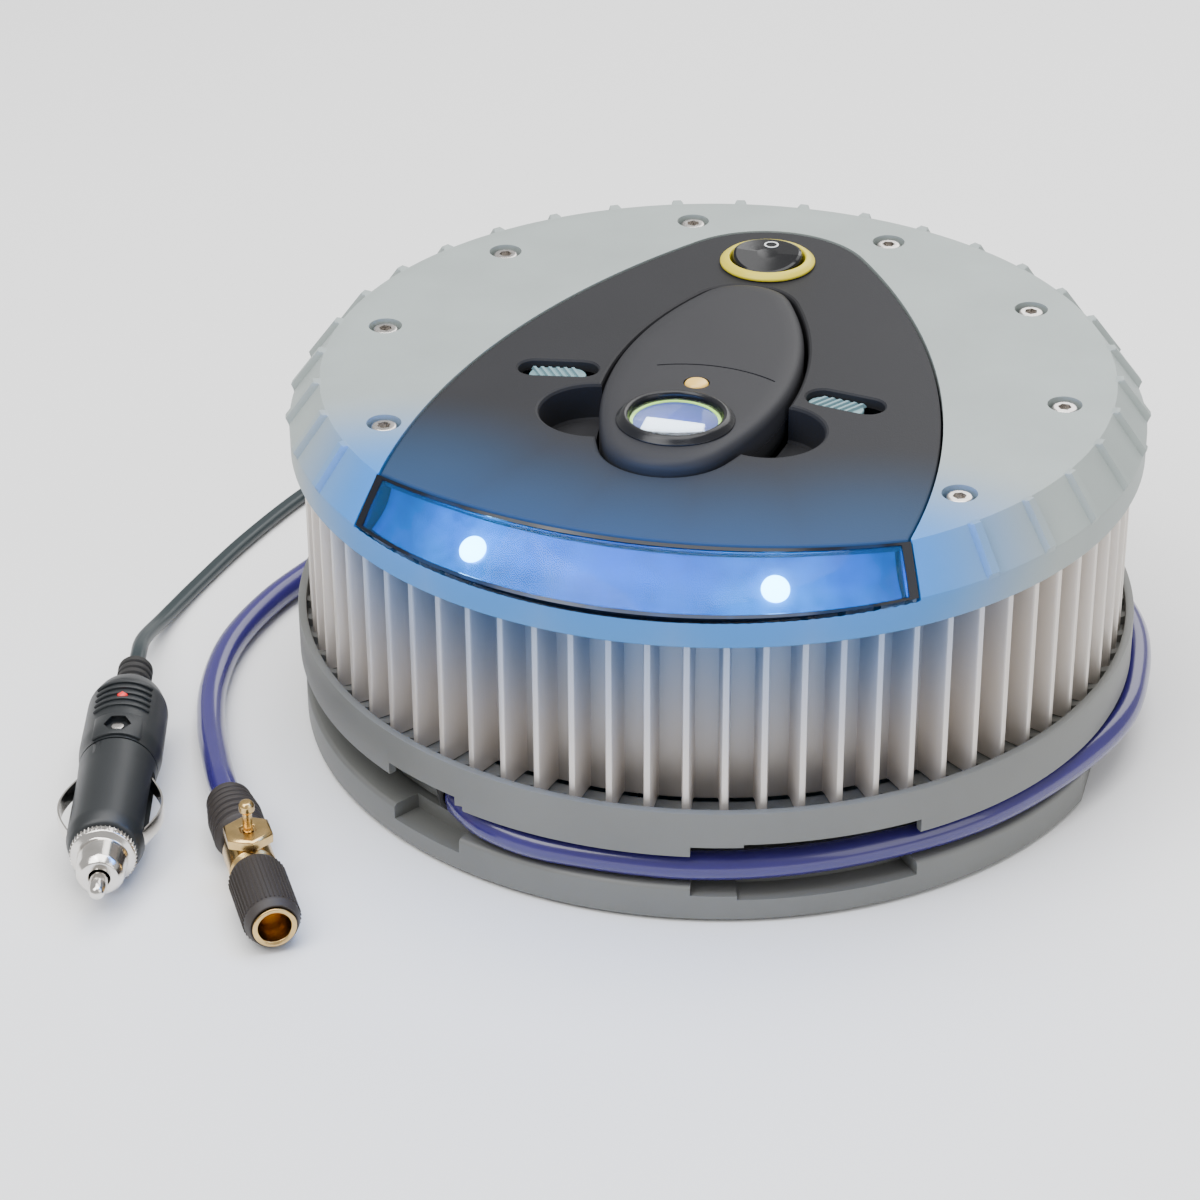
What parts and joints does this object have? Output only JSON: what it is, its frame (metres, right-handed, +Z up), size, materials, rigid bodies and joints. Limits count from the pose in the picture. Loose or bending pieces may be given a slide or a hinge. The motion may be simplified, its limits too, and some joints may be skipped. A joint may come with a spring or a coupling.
{
  "type": "portable tyre inflator",
  "caption": "Drum-shaped 12 V tyre inflator with cooling fins, lift-out gauge, work light, side-wound air hose with valve chuck and a power cord with a car plug.",
  "frame": {"origin": "centre of the drum, on the surface its rubber feet stand on", "axes": "+Z up along the drum axis, -Y towards the work light, +X to the right when facing the light from the front"},
  "size_m": [0.2914, 0.3704, 0.1091],
  "materials": {
    "grey_shell": "light grey moulded shell, finely textured",
    "dark_grey_shell": "darker grey moulded base",
    "silver_fins": "champagne-silver satin fins",
    "charcoal_plastic": "charcoal satin plastic",
    "gloss_black": "gloss black",
    "black_plastic": "black moulded plastic",
    "clear_plastic": "clear window",
    "lamp": "lit lamp and display",
    "bright_metal": "nickel plated",
    "yellow_plastic": "translucent yellow ring",
    "amber_plastic": "amber",
    "blue_grey_plastic": "blue-grey",
    "screw_steel": "stainless",
    "black_rubber": "matt rubber",
    "hose_jacket": "glossy blue-violet hose",
    "cord_jacket": "dark twin-core cord",
    "brass": "turned brass",
    "machine_steel": "plated steel",
    "red_lamp": "indicator"
  },
  "bodies": {
    "housing": {"air_hose": "hose_jacket", "base_plate": "dark_grey_shell", "base_screw_1": "screw_steel", "base_screw_2": "screw_steel", "base_screw_3": "screw_steel", "base_tray": "dark_grey_shell", "chuck_body": "brass", "control_panel": "charcoal_plastic", "cord_coil": "cord_jacket", "cord_gland": "black_rubber", "cord_lead": "cord_jacket", "cover_screw_1": "screw_steel", "cover_screw_2": "screw_steel", "cover_screw_3": "screw_steel", "cover_screw_4": "screw_steel", "cover_screw_5": "screw_steel", "cover_screw_6": "screw_steel", "cover_screw_7": "screw_steel", "cover_screw_8": "screw_steel", "cylinder": "machine_steel", "cylinder_head": "machine_steel", "finned_housing": "silver_fins", "gearbox_frame": "machine_steel", "hose_ferrule": "black_rubber", "hose_grommet": "black_rubber", "light_frame": "charcoal_plastic", "light_lens": "clear_plastic", "light_reflector": "bright_metal", "motor_can": "machine_steel", "plug_body": "black_plastic", "plug_indicator": "red_lamp", "plug_strain_relief": "black_rubber", "power_cord": "cord_jacket", "rubber_foot_1": "black_rubber", "rubber_foot_2": "black_rubber", "rubber_foot_3": "black_rubber", "switch_bezel": "yellow_plastic", "switch_body": "black_plastic", "top_cover": "grey_shell", "work_led_board": "lamp"},
    "rocker": {"rocker_button": "gloss_black"},
    "gauge": {"gauge_front_shell": "charcoal_plastic", "gauge_back_shell": "charcoal_plastic", "gauge_bezel": "gloss_black", "gauge_lens": "clear_plastic", "gauge_display": "lamp", "gauge_nozzle": "brass"},
    "gauge_button": {"gauge_button": "amber_plastic"},
    "left_latch": {"left_latch": "blue_grey_plastic"},
    "right_latch": {"right_latch": "blue_grey_plastic"},
    "rotor": {"motor_armature": "machine_steel", "cooling_fan": "black_plastic"},
    "crank": {"crank_gear": "black_plastic"},
    "piston": {"piston_rod": "black_plastic"},
    "chuck_sleeve": {"chuck_sleeve": "black_rubber"},
    "bleed_pin": {"bleed_pin": "brass"},
    "plug_tip": {"plug_tip": "bright_metal"},
    "plug_nose_cap": {"plug_nose_cap": "bright_metal"},
    "plug_clip_left": {"plug_clip_left": "bright_metal"},
    "plug_clip_right": {"plug_clip_right": "bright_metal"}
  },
  "joints": [
    {"name": "rocker_tilt", "type": "hinge", "parent": "housing", "child": "rocker", "pos_m": [-0.0015, 0.0676, 0.1042], "axis": [1, 0, 0], "range_deg": [-12, 0]},
    {"name": "gauge_lift", "type": "slide", "parent": "housing", "child": "gauge", "axis": [0, 0, 1], "range_m": [0, 0.04]},
    {"name": "gauge_button_press", "type": "slide", "parent": "gauge", "child": "gauge_button", "axis": [0, -0.015, -0.9999], "range_m": [0, 0.0007], "stiffness_N_per_m": 400},
    {"name": "left_latch_slide", "type": "slide", "parent": "housing", "child": "left_latch", "axis": [-0.9848, -0.1736, 0], "range_m": [-0.0029, 0.0026]},
    {"name": "right_latch_slide", "type": "slide", "parent": "housing", "child": "right_latch", "axis": [0.9848, -0.1736, 0], "range_m": [0, 0.0055]},
    {"name": "rotor_spin", "type": "hinge", "parent": "housing", "child": "rotor", "pos_m": [0, 0.022, 0.044], "axis": [1, 0, 0], "continuous": true},
    {"name": "crank_spin", "type": "hinge", "parent": "housing", "child": "crank", "pos_m": [0, -0.008, 0.044], "axis": [1, 0, 0], "continuous": true},
    {"name": "piston_stroke", "type": "slide", "parent": "housing", "child": "piston", "axis": [0, -1, 0], "range_m": [0, 0.016]},
    {"name": "chuck_sleeve_turn", "type": "hinge", "parent": "housing", "child": "chuck_sleeve", "pos_m": [-0.08423, -0.14444, 0.008], "axis": [0.5255, -0.8508, 0], "continuous": true},
    {"name": "bleed_press", "type": "slide", "parent": "housing", "child": "bleed_pin", "axis": [0, 0, -1], "range_m": [0, 0.001], "stiffness_N_per_m": 500},
    {"name": "plug_tip_press", "type": "slide", "parent": "housing", "child": "plug_tip", "axis": [-0.2874, 0.9578, 0], "range_m": [0, 0.003], "stiffness_N_per_m": 600},
    {"name": "plug_cap_turn", "type": "hinge", "parent": "housing", "child": "plug_nose_cap", "pos_m": [-0.12934, -0.14437, 0.0117], "axis": [0.2874, -0.9578, 0], "continuous": true},
    {"name": "plug_clip_left_press", "type": "slide", "parent": "housing", "child": "plug_clip_left", "axis": [-0.9578, -0.2874, 0], "range_m": [0, 0.0016], "stiffness_N_per_m": 800},
    {"name": "plug_clip_right_press", "type": "slide", "parent": "housing", "child": "plug_clip_right", "axis": [0.9578, 0.2874, 0], "range_m": [0, 0.0016], "stiffness_N_per_m": 800}
  ],
  "couplings": [
    {"joint": "crank_spin", "follows": "rotor_spin", "ratio": -0.25}
  ]
}
